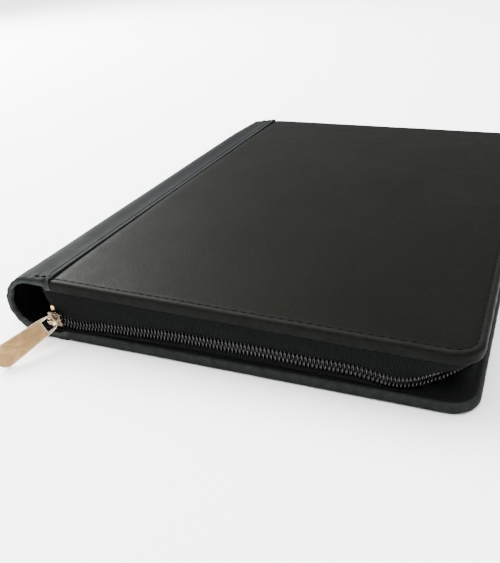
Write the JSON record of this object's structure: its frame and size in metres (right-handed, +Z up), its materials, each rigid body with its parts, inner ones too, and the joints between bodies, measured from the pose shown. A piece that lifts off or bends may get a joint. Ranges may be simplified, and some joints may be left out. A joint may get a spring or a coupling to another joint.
{
  "type": "portfolio case",
  "caption": "Zip-round document portfolio case in black leather, closed and lying flat, with a soft round spine, lined pockets inside and a flat metal pull tab.",
  "frame": {"origin": "centre of the back cover's underside, on the surface that the closed case lies on", "axes": "+Z up through the covers, +Y along the spine away from the zip's closed end, +X from the spine to the fore edge"},
  "size_m": [0.2599, 0.3762, 0.038],
  "materials": {
    "leather": "black grained leather, low sheen",
    "inner_leather": "thin black leather",
    "board": "grey bookbinder's board",
    "lining": "black woven lining",
    "zip_tape": "black woven tape",
    "zip_coil": "black nylon coil",
    "zip_metal": "pale gold plated, satin"
  },
  "bodies": {
    "back": {"back_leather": "leather", "back_spine_strip": "leather", "back_board": "board", "back_lining": "lining", "back_pad_sleeve": "inner_leather", "pen_loop": "inner_leather", "back_zip_tape": "zip_tape", "back_zip_coil": "zip_coil", "back_top_stop": "zip_metal", "bottom_stop": "zip_metal"},
    "spine_1": {"spine_leather_1": "leather", "spine_lining_1": "lining"},
    "spine_2": {"spine_leather_2": "leather", "spine_lining_2": "lining"},
    "spine_3": {"spine_leather_3": "leather", "spine_lining_3": "lining"},
    "spine_4": {"spine_leather_4": "leather", "spine_lining_4": "lining"},
    "front": {"front_leather": "leather", "front_spine_strip": "leather", "front_board": "board", "front_lining": "lining", "front_document_pocket": "lining", "front_card_pocket_1": "inner_leather", "front_card_pocket_2": "inner_leather", "front_card_pocket_3": "inner_leather", "front_zip_tape": "zip_tape", "front_zip_coil": "zip_coil", "front_top_stop": "zip_metal"},
    "slider": {"slider_body": "zip_metal"},
    "pull": {"pull_tab": "zip_metal"}
  },
  "joints": [
    {"name": "spine_fold_1", "type": "hinge", "parent": "back", "child": "spine_1", "pos_m": [-0.11582, 0, 0.00165], "axis": [0, -1, 0], "range_deg": [0, 36.25]},
    {"name": "spine_fold_2", "type": "hinge", "parent": "spine_1", "child": "spine_2", "pos_m": [-0.12495, 0, 0.00834], "axis": [0, -1, 0], "range_deg": [0, 36.25]},
    {"name": "spine_fold_3", "type": "hinge", "parent": "spine_2", "child": "spine_3", "pos_m": [-0.12835, 0, 0.01914], "axis": [0, -1, 0], "range_deg": [0, 36.25]},
    {"name": "spine_fold_4", "type": "hinge", "parent": "spine_3", "child": "spine_4", "pos_m": [-0.12471, 0, 0.02986], "axis": [0, -1, 0], "range_deg": [0, 36.25]},
    {"name": "spine_fold_5", "type": "hinge", "parent": "spine_4", "child": "front", "pos_m": [-0.11544, 0, 0.03635], "axis": [0, -1, 0], "range_deg": [0, 36.25]},
    {"name": "zip_slide", "type": "slide", "parent": "back", "child": "slider", "axis": [1, 0, 0], "range_m": [0, 0.19]},
    {"name": "pull_swing", "type": "hinge", "parent": "slider", "child": "pull", "pos_m": [-0.09829, -0.17048, 0.0122], "axis": [-0.515, 0, 0.8572], "range_deg": [0, 95]}
  ],
  "couplings": [
    {"joint": "spine_fold_2", "follows": "spine_fold_1", "ratio": 1},
    {"joint": "spine_fold_3", "follows": "spine_fold_1", "ratio": 1},
    {"joint": "spine_fold_4", "follows": "spine_fold_1", "ratio": 1},
    {"joint": "spine_fold_5", "follows": "spine_fold_1", "ratio": 1}
  ]
}
